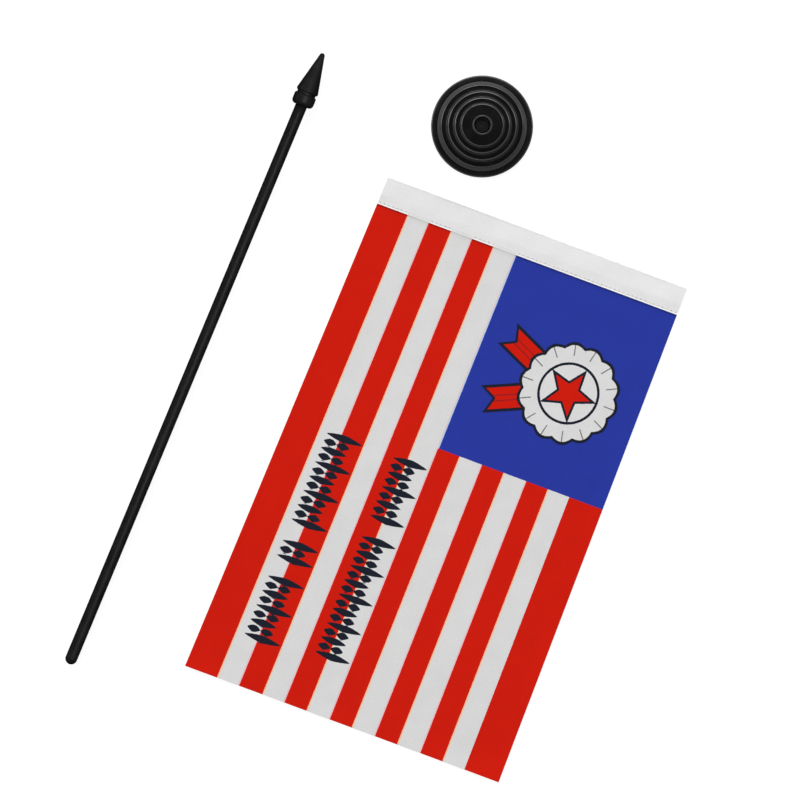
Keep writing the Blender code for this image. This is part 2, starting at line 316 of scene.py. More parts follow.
def base_outline():
    """The moulding's whole section, from the socket's floor over the top to the hollow underside."""
    top = [(BASE_RADIUS - FOOT_CHAMFER, 0.0), (BASE_RADIUS, FOOT_CHAMFER)]
    top += arc((BASE_RADIUS - RIM_ROUND, RIM_HEIGHT - RIM_ROUND), RIM_ROUND, 0, 80, 10)
    bottom = FLANGE_TOP - FLANGE_GROOVE_DEPTH
    groove_end = BEVEL_FOOT + FLANGE_GROOVE_WIDTH
    top += [(groove_end, FLANGE_TOP - FLANGE_FALL)]
    top += [(groove_end - GROOVE_LEAN, bottom), (BEVEL_FOOT + GROOVE_LEAN, bottom)]
    top += [(BEVEL_FOOT, FLANGE_TOP), (tier_radius(0) + BEVEL_WALL, FLANGE_TOP + BEVEL_RISE)]
    for i in range(TIER_COUNT):
        if i > 0:
            crease = (tier_radius(i) + TIER_BATTER + TIER_CREASE, tier_height(i - 1) + TIER_CREASE)
            top += arc(crease, TIER_CREASE, 270, 180, 2)
        rounding = TIER_ROUNDS[i]
        top += arc((tier_radius(i) - rounding, tier_height(i) - rounding), rounding, 10, 90, 12)
    top += crown_outline()
    crown = tier_height(TIER_COUNT - 1)
    top += arc((MOUTH_RADIUS, crown + CROWN_RISE), MOUTH_BEAD_RADIUS, 10, 170, 12)
    top += [(MOUTH_RADIUS - MOUTH_BEAD_RADIUS, crown), (SOCKET_RADIUS, crown - MOUTH_CHAMFER)]
    top += [(SOCKET_RADIUS, SOCKET_FLOOR + TIER_COVE)]
    top += [(SOCKET_RADIUS - TIER_COVE, SOCKET_FLOOR), (0.0, SOCKET_FLOOR)]
    corner = tier_radius(TIER_COUNT - 1) + TIER_BATTER + TIER_COVE - SHELL_RUN
    height = tier_height(TIER_COUNT - 2)
    run = TIER_STEP / TIER_RISE
    roof = crown - CROWN_THICKNESS
    eaves = FLANGE_TOP - FLANGE_THICKNESS
    under = [(0.0, 0.0), (BOSS_RADIUS, 0.0), (BOSS_RADIUS, roof),
             (corner - run * (roof - height), roof), (corner + run * (height - eaves), eaves),
             (BASE_RADIUS - RIM_WALL, eaves), (BASE_RADIUS - RIM_WALL, 0.0)]
    return list(reversed(top)) + list(reversed(under))


def base_material():
    """The plastic of the base, painted paler inside the socket as painted light, for the light that
    reaches into it.
    """
    g = moulded_plastic("base_plastic", (0.0027, 0.0027, 0.0031), 0.15, 0.90, 0.05)
    x, y, z = g.xyz(g.object_place())
    radius = g.math("SQRT", g.add(g.times(x, x), g.times(y, y)))
    # painted light: the socket's walls and floor are painted paler, standing in for light that reaches
    # into them
    bore = g.times(g.less(radius, SOCKET_RADIUS + 0.03 * MM), g.more(z, SOCKET_FLOOR - 0.1 * MM))
    colour = g.shader.inputs["Base Color"]
    g.put(g.mix(bore, colour.links[0].from_socket, grey(SOCKET_PAINTED_LIGHT_GREY)), colour)
    return g.material


def stand_base(material):
    points, faces = turned(base_outline(), BASE_STEPS)
    piece = add_piece("base_moulding", points, faces, material)
    return finish_piece(piece, "base", "base_plastic", "stand_base")


def base_ribs(material):
    """Six thin ribs in the hollow, from the socket's boss out to the shell."""
    inner = BOSS_RADIUS - RIB_ROOT
    outer = BASE_RADIUS - RIM_WALL + RIB_ROOT
    shell = FLANGE_TOP - FLANGE_THICKNESS + RIB_ROOT
    crest = (tier_radius(TIER_COUNT - 1), tier_height(TIER_COUNT - 2))
    side = [(inner, RIB_LIFT), (outer, RIB_LIFT), (outer, shell), (tier_radius(0), shell), crest,
            (inner, crest[1])]
    points, faces = [], []
    for i in range(RIB_COUNT):
        angle = math.tau * i / RIB_COUNT
        along = Vector((math.cos(angle), math.sin(angle), 0))
        across = Vector((-math.sin(angle), math.cos(angle), 0)) * RIB_THICKNESS / 2
        first = len(points)
        for sign in (1, -1):
            points += [along * r + across * sign + UP * z for r, z in side]
        count = len(side)
        faces.append(tuple(range(first, first + count)))
        faces.append(tuple(range(first + 2 * count - 1, first + count - 1, -1)))
        for j in range(count):
            k = (j + 1) % count
            faces.append((first + j, first + k, first + count + k, first + count + j))
    piece = add_piece("base_ribs", points, faces, material, smooth=False)
    return finish_piece(piece, "base", "base_plastic")


# ---------------------------------------------------------------- pole and finial

COLLAR_RADIUS = 5.1 * MM
COLLAR_HEIGHT = 5.45 * MM
COLLAR_LOWER_ROUND = 1.9 * MM
COLLAR_UPPER_ROUND = 0.9 * MM
NECK_DEPTH = 0.75 * MM
NECK_HEIGHT = 0.8 * MM
CONE_RADIUS = 5.1 * MM
CONE_LENGTH = 19.4 * MM
CONE_EDGE_ROUND = 1.0 * MM
CONE_TIP_RADIUS = 1.2 * MM
SPIGOT_RADIUS = 1.7 * MM
SPIGOT_LENGTH = 9.0 * MM
SPIGOT_CHAMFER = 0.4 * MM
SHOULDER_CHAMFER = 0.2 * MM
FIT_GAP = 0.3 * MM
SEAT_GAP = 0.02 * MM  # left between the rod's shoulder and the finial
ROD_RINGS = 59
ROD_STEPS = 96
FINIAL_STEPS = 128


def pole_axis():
    """The direction of the pole, the centre of its round foot, its radius and its length."""
    along = Vector(JOINTS["finial_pull"]["axis"]).normalized()
    points = np.array([v.co for v in frame["nodes"]["pole_rod"].data.vertices])
    reach = points @ np.array(along)
    tip = Vector(points[reach.argmin()])
    off_axis = points - np.outer(reach - reach.min(), along) - np.array(tip)
    radius = np.linalg.norm(off_axis, axis=1).max()
    return along, tip + along * radius, radius, reach.max() - reach.min()


def standing(points, origin, along):
    """Local points, Z along the pole, set in their place."""
    turn = along.to_track_quat("Z", "Y").to_matrix()
    return [turn @ Vector(p) + origin for p in points]


def pole_rod(material):
    along, centre, radius, length = pole_axis()
    tip = length - radius
    shoulder = tip - SPIGOT_LENGTH + FIT_GAP - SEAT_GAP
    chamfer, edge = SPIGOT_CHAMFER, SHOULDER_CHAMFER
    outline = arc((0, 0), radius, -90, 0, 18)
    outline[0] = (0.0, -radius)
    for share in np.linspace(0, 1, ROD_RINGS + 1)[1:-1]:
        outline.append((radius, (shoulder - edge) * share))
    outline += [(radius, shoulder - edge), (radius - edge, shoulder), (SPIGOT_RADIUS, shoulder),
                (SPIGOT_RADIUS, tip - chamfer), (SPIGOT_RADIUS - chamfer, tip), (0.0, tip)]
    points, faces = turned(outline, ROD_STEPS)
    piece = add_piece("pole_rod_detailed", standing(points, centre, along), faces, material)
    return finish_piece(piece, "pole", "pole_plastic", "pole_rod")


def finial_outline():
    low, high = COLLAR_LOWER_ROUND, COLLAR_UPPER_ROUND
    neck = CONE_RADIUS - NECK_DEPTH
    foot = COLLAR_HEIGHT + NECK_HEIGHT
    top = foot + CONE_LENGTH
    lean = math.degrees(math.atan2(CONE_RADIUS - CONE_TIP_RADIUS, CONE_LENGTH - CONE_TIP_RADIUS))
    points = arc((COLLAR_RADIUS - low, low), low, -90, 0, 14)
    points += arc((COLLAR_RADIUS - high, COLLAR_HEIGHT - high), high, 0, 90, 8)
    points += [(neck, COLLAR_HEIGHT), (neck, foot)]
    edge = (CONE_RADIUS - CONE_EDGE_ROUND, foot + CONE_EDGE_ROUND)
    points += arc(edge, CONE_EDGE_ROUND, -80, lean, 10)
    points += arc((0, top - CONE_TIP_RADIUS), CONE_TIP_RADIUS, lean, 90, 10)
    points[-1] = (0.0, top)  # exactly on the axis
    return points


def spear_finial(material):
    along, centre, radius, length = pole_axis()
    origin = centre + along * (length - radius - SPIGOT_LENGTH + FIT_GAP)
    depth = SPIGOT_LENGTH + FIT_GAP
    bore = SPIGOT_RADIUS + FIT_GAP
    outline = [(0.0, depth), (bore, depth), (bore, 0.0)] + finial_outline()
    points, faces = turned(outline, FINIAL_STEPS)
    piece = add_piece("spear_finial_detailed", standing(points, origin, along), faces, material)
    return finish_piece(piece, "finial", "finial_plastic", "spear_finial")


# ---------------------------------------------------------------- flag: where it lies

HINGE = JOINTS["flag_swing"]
ACROSS = -Vector(HINGE["axis"]).normalized()  # along the hoist, away from the pole
DOWN = Vector((ACROSS.y, -ACROSS.x, 0))  # from the hoist to the free end


def flag_edges():
    """The hoist edge's and the free edge's (left, right) along ACROSS, and their depths along DOWN."""
    found = []
    for name, pick in (("flag_sleeve", np.min), ("flag_field", np.max)):
        points = np.array([v.co for v in frame["nodes"][name].data.vertices])
        across, depth = points @ np.array(ACROSS), points @ np.array(DOWN)
        edge = across[np.abs(depth - pick(depth)) < 0.02 * MM]
        found.append((edge.min(), edge.max(), pick(depth)))
    return found


(HOIST_LEFT, HOIST_RIGHT, HOIST_DEPTH), (FREE_LEFT, FREE_RIGHT, FREE_DEPTH) = flag_edges()
LENGTH = FREE_DEPTH - HOIST_DEPTH
WIDTH = (HOIST_RIGHT - HOIST_LEFT + FREE_RIGHT - FREE_LEFT) / 2
HOIST_WIDTH = HOIST_RIGHT - HOIST_LEFT
SEAM_END = 12.673 * MM  # from the hoist edge to the hem's cut edge
SEAM_INSET = 1.0 * MM  # from the cut edge back to the stitches
STITCH_LENGTH = 2.1 * MM
SEAM_MARGIN = 1.0 * MM  # bare seam at each end of the stitches
STITCH_COUNT = round((HOIST_WIDTH - 2 * SEAM_MARGIN) / STITCH_LENGTH)
CLOTH = 0.22 * MM
LAID = 0.12 * MM  # height of the cloth's middle where it lies on the table

# Shallow waves left by folding: a strength, and two sines that are multiplied. Each sine has its
# turn for a millimetre across, its turn for a millimetre down, and its start, in radians.
WAVES = (
    (1.0, (0.043, 0.021, 0.6), (-0.008, 0.026, 1.1)),
    (0.6, (0.083, -0.035, 2.0), (0.017, 0.051, 0.0)),
    (0.35, (0.16, 0.03, 0.0), (0.0, 0.09, 0.7)),
)
WAVE_REACH = sum(strength for strength, _, _ in WAVES)
WAVE_HEIGHT = 0.28
SETTLE_RUN = 30 * MM  # over which the waves grow below the seam
CORNER_CURL, CORNER_RUN = 1.3, 13 * MM
FREE_CURL, FREE_RUN = 0.25, 5 * MM
SIDE_CURL, SIDE_RUN = 0.2, 4 * MM


def on_flag(u, depth, height):
    """A point at share u across the flag, at a depth below the hoist edge."""
    share = depth / LENGTH
    left = HOIST_LEFT + (FREE_LEFT - HOIST_LEFT) * share
    right = HOIST_RIGHT + (FREE_RIGHT - HOIST_RIGHT) * share
    return ACROSS * (left + (right - left) * u) + DOWN * (HOIST_DEPTH + depth) + UP * height


def smooth_step(share):
    """0 to 1 with no corner at either end."""
    return share * share * (3 - 2 * share)


def fading(distance, run):
    """1 at an edge, falling to nothing within about two runs of it."""
    return math.exp(-(distance / run) ** 2)


def ripple(u, depth):
    """Height of the laid cloth above the table: shallow waves left by folding, and lifted edges."""
    x, y = u * WIDTH / MM, depth / MM
    wave = 0.0
    for strength, *sines in WAVES:
        first, second = (math.sin(across * x + down * y + start) for across, down, start in sines)
        wave += strength * first * second
    settle = min(1.0, max(0.0, (depth - SEAM_END) / SETTLE_RUN))
    edge = min(u, 1 - u) * WIDTH
    far = LENGTH - depth
    curl = fading(edge + far, CORNER_RUN) * CORNER_CURL
    curl += fading(far, FREE_RUN) * FREE_CURL * (1 + math.sin(0.11 * x + 0.5))
    curl += fading(edge, SIDE_RUN) * SIDE_CURL * (1 + math.sin(0.07 * y + 1.0))
    return LAID + settle * (WAVE_HEIGHT * (wave + WAVE_REACH) / WAVE_REACH + curl) * MM


def cloth_strip(name, rows, material):
    """A closed thin sheet through rows of (u, depth, height) mid-points, with a cloth UV map."""
    count = len(rows[0])
    grid = np.array([[tuple(on_flag(*cell)) for cell in row] for row in rows])
    down = np.gradient(grid, axis=0)
    side = np.gradient(grid, axis=1)
    normal = np.cross(side, down)
    normal /= np.linalg.norm(normal, axis=2, keepdims=True)
    layers = [grid - normal * CLOTH / 2, grid + normal * CLOTH / 2]
    points = np.concatenate([layer.reshape(-1, 3) for layer in layers])
    size = len(rows) * count
    faces = []
    for i in range(len(rows) - 1):
        for j in range(count - 1):
            a, d = i * count + j, (i + 1) * count + j
            b, c = a + 1, d + 1
            faces.append((a, b, c, d))
            faces.append((size + d, size + c, size + b, size + a))
    rim = [(0, j) for j in range(count)] + [(i, count - 1) for i in range(1, len(rows))]
    rim += [(len(rows) - 1, j) for j in range(count - 2, -1, -1)]
    rim += [(i, 0) for i in range(len(rows) - 2, 0, -1)]
    loop = [i * count + j for i, j in rim]
    for a, b in zip(loop, loop[1:] + loop[:1]):
        faces.append((b, a, size + a, size + b))
    piece = add_piece(name, points, faces, material)
    uv = piece.data.uv_layers.new(name="cloth")
    place = [(u, depth / LENGTH) for row in rows for u, depth, _ in row]
    for corner in piece.data.loops:
        uv.data[corner.index].uv = place[corner.vertex_index % size]
    return piece


def columns_across(count):
    return [i / (count - 1) for i in range(count)]


TUCK_RUN = 1.7 * MM  # how far the printed cloth runs up into the seam
TUCK_HEIGHT = 0.345 * MM  # where it lies in the seam, between the hem's two layers
TUCK_FALL = 2.6 * MM  # over which it comes down from the seam to the table


def printed_field(material):
    """The printed cloth, from inside the seam to the free end. It bends at the seam."""
    columns = columns_across(112)
    tucked = SEAM_END - TUCK_RUN
    near = np.arange(tucked, SEAM_END + 5 * MM, 0.45 * MM)  # finer rows where it bends
    depths = list(near) + list(np.linspace(near[-1], LENGTH, 165)[1:])
    rows = []
    for depth in depths:
        fall = smooth_step(min(1.0, max(0.0, (depth - SEAM_END + 0.3 * MM) / TUCK_FALL)))
        rows.append([(u, depth, TUCK_HEIGHT + (ripple(u, depth) - TUCK_HEIGHT) * fall)
                     for u in columns])
    piece = cloth_strip("printed_field", rows, material)
    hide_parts("flag_field")
    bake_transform(piece)
    return piece


HEM_EDGE_HEIGHT = 0.56 * MM  # the upper layer at its cut edge
HEM_RISE = 0.50 * MM  # from there up to the crest
HEM_SLOPE = 5.4 * MM  # over which it rises
HEM_FOLD = 0.47 * MM  # radius of the fold at the hoist
HEM_UNDER = 0.13 * MM  # height of the lower layer
HEM_SWAY = 0.1 * MM


def hem_sleeve(material):
    """The sleeve: cloth from its upper cut edge back round the fold, and under to the seam."""
    columns = columns_across(96)
    fold = HEM_FOLD
    section = []  # (depth, height, how loosely the cloth lies)
    for depth in np.linspace(SEAM_END, SEAM_END - HEM_SLOPE, 13):
        rise = smooth_step((SEAM_END - depth) / HEM_SLOPE)
        section.append((depth, HEM_EDGE_HEIGHT + rise * HEM_RISE, rise))
    crest = HEM_EDGE_HEIGHT + HEM_RISE
    for depth in np.linspace(SEAM_END - HEM_SLOPE, fold + 0.2 * MM, 14)[1:]:
        share = (depth - fold) / (SEAM_END - HEM_SLOPE - fold)
        section.append((depth, crest + (fold * 2 + LAID - crest) * (1 - share) ** 2, 1.0))
    for angle in np.linspace(90, 270, 9)[1:-1]:
        radians = math.radians(angle)
        height = fold + LAID + fold * math.sin(radians)
        section.append((fold + fold * math.cos(radians), height, 0.3))
    for depth in np.linspace(fold, SEAM_END - 0.2 * MM, 20):
        section.append((depth, HEM_UNDER, 0.0))
    rows = []
    for depth, height, loose in section:
        row = []
        for u in columns:
            x, y = u * WIDTH / MM, depth / MM
            sway = math.sin(0.13 * x + 0.25 * y) * math.sin(0.055 * x + 1.0)
            sway += 0.5 * math.sin(0.31 * x + 0.2 * y)
            row.append((u, depth, height + loose * HEM_SWAY * sway))
        rows.append(row)
    piece = cloth_strip("hem_sleeve", rows, material)
    return finish_piece(piece, "sleeve", "sleeve_cloth", "flag_sleeve")


STITCH_HALF = 0.39  # half a stitch's seen length, as a share of STITCH_LENGTH
THREAD_END, THREAD_BULGE = 0.03 * MM, 0.11 * MM  # radius at a stitch's ends, and what its middle adds
THREAD_LIFT, THREAD_RISE = 0.66 * MM, 0.13 * MM  # height of its ends, and what its middle adds


def seam_stitches(material):
    """One short raised stitch of twisted thread after another, along the seam."""
    depth = SEAM_END - SEAM_INSET
    pitch = (HOIST_WIDTH - 2 * SEAM_MARGIN) / STITCH_COUNT
    points, faces = [], []
    rings, sides = 9, 8
    for s in range(STITCH_COUNT):
        middle = (SEAM_MARGIN + (s + 0.5) * pitch) / HOIST_WIDTH
        half = STITCH_HALF * STITCH_LENGTH / HOIST_WIDTH
        first = len(points)
        for i in range(rings):
            share = i / (rings - 1) * 2 - 1
            bulge = math.sqrt(max(0.0, 1 - share ** 4))
            radius = THREAD_END + THREAD_BULGE * bulge
            lift = THREAD_LIFT + THREAD_RISE * bulge
            core = on_flag(middle + half * share, depth + 0.03 * MM * share, lift)
            for j in range(sides):
                angle = math.tau * j / sides + share
                points.append(core + DOWN * radius * math.cos(angle) + UP * radius * math.sin(angle))
        for i in range(rings - 1):
            for j in range(sides):
                k = (j + 1) % sides
                a = first + i * sides
                faces.append((a + j, a + k, a + sides + k, a + sides + j))
        faces.append(tuple(first + j for j in range(sides)))
        faces.append(tuple(first + (rings - 1) * sides + j for j in range(sides)))
    piece = add_piece("seam_stitches", points, faces, material)
    return finish_piece(piece, "sleeve", "sewing_thread", "seam_thread")


# ---------------------------------------------------------------- flag: its cloth and print

RED = linear(205, 26, 9)
WHITE = linear(218, 217, 217)
BLUE = linear(40, 56, 156)
NAVY = linear(28, 32, 44)
HEM_WHITE = linear(233, 232, 232)
HEM_EDGE = linear(250, 249, 249)
HEM_FOLD_PAINTED_SHADE = linear(196, 195, 196)
HOLE_PAINTED_SHADE = linear(120, 124, 124)
WARM_FRINGE = linear(244, 196, 158)
PINK_FRINGE = linear(232, 196, 200)
CYAN_FRINGE = linear(176, 208, 232)

FIRST_STRIPE = 0.099
LAST_STRIPE = 0.890
STRIPES_BETWEEN = 11
CANTON_LEFT = 0.464
CANTON_FOOT = 0.4475
WARM_WIDTH = 0.0036
PINK_WIDTH = 0.0030
CYAN_WIDTH = 0.0035

WEFT_PITCH = 0.52  # millimetres
WARP_PITCH = 0.60
INK_CREEP = 0.35  # how far ink creeps along the threads, in millimetres


class Cloth(Graph):
    """Plain-woven polyester: x and y in millimetres across and down the flag, u and v as shares of
    its width and length, a weave height, and an uneven thread tone."""

    def __init__(self, name, roughness):
        super().__init__(name)
        self.place = self.node("UVMap", uv_map="cloth").outputs[0]
        self.u, v, _ = self.xyz(self.place)
        self.x, self.y = self.times(self.u, WIDTH / MM), self.times(v, LENGTH / MM)
        joined = self.node("CombineXYZ")
        self.put(self.x, joined.inputs[0])
        self.put(self.y, joined.inputs[1])
        weft = self.math("SINE", self.times(self.x, math.tau / WEFT_PITCH))
        warp = self.math("SINE", self.times(self.y, math.tau / WARP_PITCH))
        weave = self.times(weft, warp)
        self.tone = self.noise(joined.outputs[0], 1.1, 3, 0.65)
        slub = self.noise(joined.outputs[0], 0.09, 2, 0.5)
        self.shader.inputs["Specular IOR Level"].default_value = 0.06
        self.shader.inputs["Sheen Weight"].default_value = 0.015
        self.shader.inputs["Sheen Roughness"].default_value = 0.5
        shade = self.add(self.range(self.tone, 0.3, 0.7, 0.965, 1.035), self.times(weave, 0.03))
        self.shade = self.times(shade, self.range(slub, 0.35, 0.65, 0.985, 1.015))
        rough = self.range(weave, -1, 1, roughness - 0.06, roughness + 0.06)
        self.put(rough, self.shader.inputs["Roughness"])
        self.bump(self.add(weave, self.times(self.tone, 0.8)), 0.35, WEAVE_DEPTH)

    def paint(self, colour):
        """Gives the shader this colour, with the thread tone on it."""
        tint = self.node("CombineColor")
        for socket in tint.inputs[:3]:
            self.put(self.shade, socket)
        self.put(self.mix(1.0, colour, tint.outputs[0], "MULTIPLY"), self.shader.inputs["Base Color"])


def stripes(g, u, red=RED, white=WHITE, warm=WARM_FRINGE, pink=PINK_FRINGE):
    """Thirteen stripes, red first and last, with the thin colour fringes of the print."""
    step = (LAST_STRIPE - FIRST_STRIPE) / STRIPES_BETWEEN
    stops = [(0.0, red)]
    for i in range(STRIPES_BETWEEN + 1):
        edge = FIRST_STRIPE + step * i
        if i % 2 == 0:
            stops += [(edge, warm), (edge + WARM_WIDTH, white)]
        else:
            stops += [(edge - PINK_WIDTH, pink), (edge, red)]
    return g.ramp(u, stops, "CONSTANT")


def inked_at_hoist(g, u):
    """1 where the print beside the hem is red or blue, 0 where it is white."""
    striped = stripes(g, u, grey(1.0), grey(0.0), grey(0.0), grey(0.0))
    return g.math("MAXIMUM", striped, g.more(u, CANTON_LEFT))


# The emblem's middle as shares of the flag's length and width, its parts in millimetres
EMBLEM_ACROSS = 0.264
EMBLEM_UP = 0.722
ROSETTE_LIFT = 7.5  # from the emblem's middle up to the rosette's
ROSETTE_RADIUS = 20.5
SCALLOP_COUNT = 14
SCALLOP_DEPTH = 1.7
PLEAT_RING = 13.6
RIBBON_HALF = 4.9
RIBBON_LENGTH = 37.0
RIBBON_NOTCH = 4.0
RIBBON_LEAN = math.radians(24)
RIBBON_FOLD = (0.9, 1.6)  # the dark fold line's sides, from the ribbon's middle
EMBLEM_LINE = 1.4
STAR_POINTS = 5
STAR_LINE = 1.1
STAR_OUTER = 10.5
STAR_INNER = 4.4


def ribbons(g, colour, aside, up):
    """Two red ribbons with notched ends, spread below the rosette."""
    lean = (math.cos(RIBBON_LEAN), math.sin(RIBBON_LEAN))
    across = g.math("ABSOLUTE", g.add(g.times(aside, lean[0]), g.times(up, lean[1])))
    along = g.add(g.times(aside, lean[1]), g.times(up, -lean[0]))
    notch = g.times(g.math("SUBTRACT", 1.0, g.times(across, 1 / RIBBON_HALF)), RIBBON_NOTCH)
    past_end = g.add(along, g.add(notch, -RIBBON_LENGTH))
    outside = g.math("MAXIMUM", g.add(across, -RIBBON_HALF), past_end)
    below = g.more(along, 0.0)
    colour = g.mix(g.times(below, g.less(outside, EMBLEM_LINE)), colour, NAVY)
    colour = g.mix(g.times(below, g.less(outside, 0.0)), colour, RED)
    fold = g.times(below, g.less(outside, 0.0), g.between(across, *RIBBON_FOLD))
    return g.mix(g.times(fold, 0.45), colour, NAVY)


def emblem(g, colour, x, y):
    """A plain prize rosette: a scalloped white disc with pleats, a small red star and two ribbons."""
    right = g.add(y, -EMBLEM_ACROSS * LENGTH / MM)
    up = g.add(x, -EMBLEM_UP * WIDTH / MM - ROSETTE_LIFT)
    aside = g.math("ABSOLUTE", right)
    radius = g.math("SQRT", g.add(g.times(right, right), g.times(up, up)))
    angle = g.math("ARCTAN2", aside, up)
    colour = ribbons(g, colour, aside, up)

    lobe = g.math("ABSOLUTE", g.math("COSINE", g.times(angle, SCALLOP_COUNT / 2)))
    beyond = g.add(radius, g.add(g.times(lobe, -SCALLOP_DEPTH), -ROSETTE_RADIUS))
    colour = g.mix(g.less(beyond, EMBLEM_LINE), colour, NAVY)
    disc = g.less(beyond, 0.0)
    colour = g.mix(disc, colour, WHITE)
    ring = g.less(g.math("ABSOLUTE", g.add(radius, -PLEAT_RING)), 0.6)
    pleat = g.math("ABSOLUTE", g.math("SINE", g.times(angle, SCALLOP_COUNT / 2)))
    pleat = g.times(g.less(g.times(pleat, radius), 1.9), g.more(radius, PLEAT_RING), g.more(beyond, -5.0))
    colour = g.mix(g.times(disc, g.math("MAXIMUM", ring, g.times(pleat, 0.75))), colour, NAVY)

    part = math.tau / STAR_POINTS
    folded = g.math("ABSOLUTE", g.add(g.math("MODULO", g.add(angle, part / 2), part), -part / 2))
    run = (STAR_INNER * math.cos(part / 2) - STAR_OUTER, STAR_INNER * math.sin(part / 2))
    size = math.hypot(*run)
    ahead = g.times(g.add(g.times(radius, g.math("COSINE", folded)), -STAR_OUTER), run[1] / size)
    beside = g.times(radius, g.math("SINE", folded), -run[0] / size)
    distance = g.add(ahead, beside)
    colour = g.mix(g.less(distance, STAR_LINE), colour, NAVY)
    return g.mix(g.less(distance, 0.0), colour, RED)


ORNAMENT_START = 0.486
ORNAMENT_END = 0.9245
# A row's sides as shares of the flag's width, and what stands at each place in it:
# T a tall lozenge, s a short one, d two small ones, . none
ORNAMENT_ROWS = (
    (0.344, 0.455, "TdsdTdsdT..TdsdTdsdTdsdTdsdT.."),
    (0.127, 0.242, "TdsdTdsdTdsdT..TdT..TdsdTdsdT."),
)
# A motif's height as a share of the row's, and how many lozenges share that height
MOTIFS = {"T": (1.0, 1), "s": (0.72, 1), "d": (0.72, 2), ".": (0.0, 1)}
STACK_UNIT = 10  # a colour channel carries the count, divided by this
LOZENGE_POWER = 1.3  # 1 gives straight sides, 2 an oval


def ornaments(g, colour, x, v):
    """Two bands of plain lozenges down the fly, single or stacked. Each band stands on one line."""
    length = (ORNAMENT_END - ORNAMENT_START) * LENGTH / MM
    for low, high, row in ORNAMENT_ROWS:
        place = g.range(v, ORNAMENT_START, ORNAMENT_END, 0.0, 1.0)
        inside = g.between(v, ORNAMENT_START, ORNAMENT_END)
        stops = [(i / len(row), (MOTIFS[motif][0], MOTIFS[motif][1] / STACK_UNIT, 0.0))
                 for i, motif in enumerate(row)]
        split = g.node("SeparateColor")
        g.put(g.ramp(place, stops, "CONSTANT"), split.inputs[0])
        height = g.times(split.outputs[0], (high - low) * WIDTH / MM)
        stacked = g.math("ROUND", g.times(split.outputs[1], float(STACK_UNIT)))
        each = g.math("DIVIDE", height, stacked)
        rise = g.add(x, -low * WIDTH / MM)
        pitch = length / len(row)
        along = g.add(g.math("FRACT", g.times(place, float(len(row)))), -0.5)
        aside = g.math("ABSOLUTE", g.times(along, pitch))
        within = g.math("ABSOLUTE", g.add(g.math("MODULO", rise, each), g.times(each, -0.5)))
        across = g.math("POWER", g.times(aside, 2.0 / pitch), LOZENGE_POWER)
        upward = g.math("POWER", g.math("DIVIDE", within, g.times(each, 0.5)), LOZENGE_POWER)
        lozenge = g.less(g.add(across, upward), 1.0)
        ink = g.times(lozenge, g.more(rise, 0.0), g.less(rise, height), inside)
        colour = g.mix(ink, colour, NAVY)
    return colour


def print_material():
    g = Cloth("printed_polyester", 0.82)
    bleed = g.times(g.add(g.tone, -0.5), INK_CREEP)
    x, y = g.add(g.x, bleed), g.add(g.y, bleed)
    u, v = g.times(x, MM / WIDTH), g.times(y, MM / LENGTH)
    colour = stripes(g, u)
    over = g.less(v, CANTON_FOOT)
    fringe = g.times(over, g.between(u, CANTON_LEFT - CYAN_WIDTH, CANTON_LEFT))
    colour = g.mix(fringe, colour, CYAN_FRINGE)
    grain = g.range(g.noise(g.place, 420, 2, 0.6), 0.35, 0.65, 0.0, 1.0)
    blue = g.mix(grain, tuple(c * 0.93 for c in BLUE), tuple(c * 1.07 for c in BLUE))
    colour = g.mix(g.times(over, g.more(u, CANTON_LEFT)), colour, blue)
    colour = emblem(g, colour, x, y)
    colour = ornaments(g, colour, x, v)
    # painted shadow: the print just below the hem's cut edge is darkened, strongly on red and blue and
    # faintly on white, for the shadow that the hem casts
    painted_hem_shadow = g.less(g.y, SEAM_END / MM + 0.75)
    painted_shadow_depth = g.add(g.times(inked_at_hoist(g, u), 0.34), 0.04)
    g.paint(g.mix(g.times(painted_hem_shadow, painted_shadow_depth), colour, grey(0.0)))
    return g.material


def needle_holes(g):
    """1 in the middle of each hole between two stitches, 0 away from them."""
    pitch = (HOIST_WIDTH - 2 * SEAM_MARGIN) / STITCH_COUNT / MM
    from_left = g.add(g.times(g.u, HOIST_WIDTH / MM), -SEAM_MARGIN / MM)
    phase = g.add(g.math("MODULO", g.add(from_left, pitch / 2), pitch), -pitch / 2)
    along = g.math("ABSOLUTE", phase)
    off = g.add(g.y, -(SEAM_END - SEAM_INSET) / MM)
    away = g.math("SQRT", g.add(g.times(along, along), g.times(off, off)))
    return g.range(away, 0.16, 0.42, 1.0, 0.0)


def hem_material():
    g = Cloth("plain_polyester", 0.85)
    inked = inked_at_hoist(g, g.u)
    edge = g.more(g.y, SEAM_END / MM - 0.6)
    colour = g.mix(g.times(edge, g.add(g.times(inked, 0.9), 0.1)), HEM_WHITE, HEM_EDGE)
    # painted shade: the cloth within 0.9 mm of the hoist, round the fold, is darkened where it turns away
    # from the light
    colour = g.mix(g.times(g.less(g.y, 0.9), 0.25), colour, HEM_FOLD_PAINTED_SHADE)
    # painted shade: each needle hole is darkened by an uneven amount, more over red and blue, for the
    # shadow in the hole
    uneven = g.range(g.noise(g.place, 60, 1, 0.5), 0.35, 0.65, 0.4, 1.0)
    strength = g.times(g.add(g.times(inked, 0.50), 0.16), uneven)
    g.paint(g.mix(g.times(needle_holes(g), strength), colour, HOLE_PAINTED_SHADE))
    return g.material


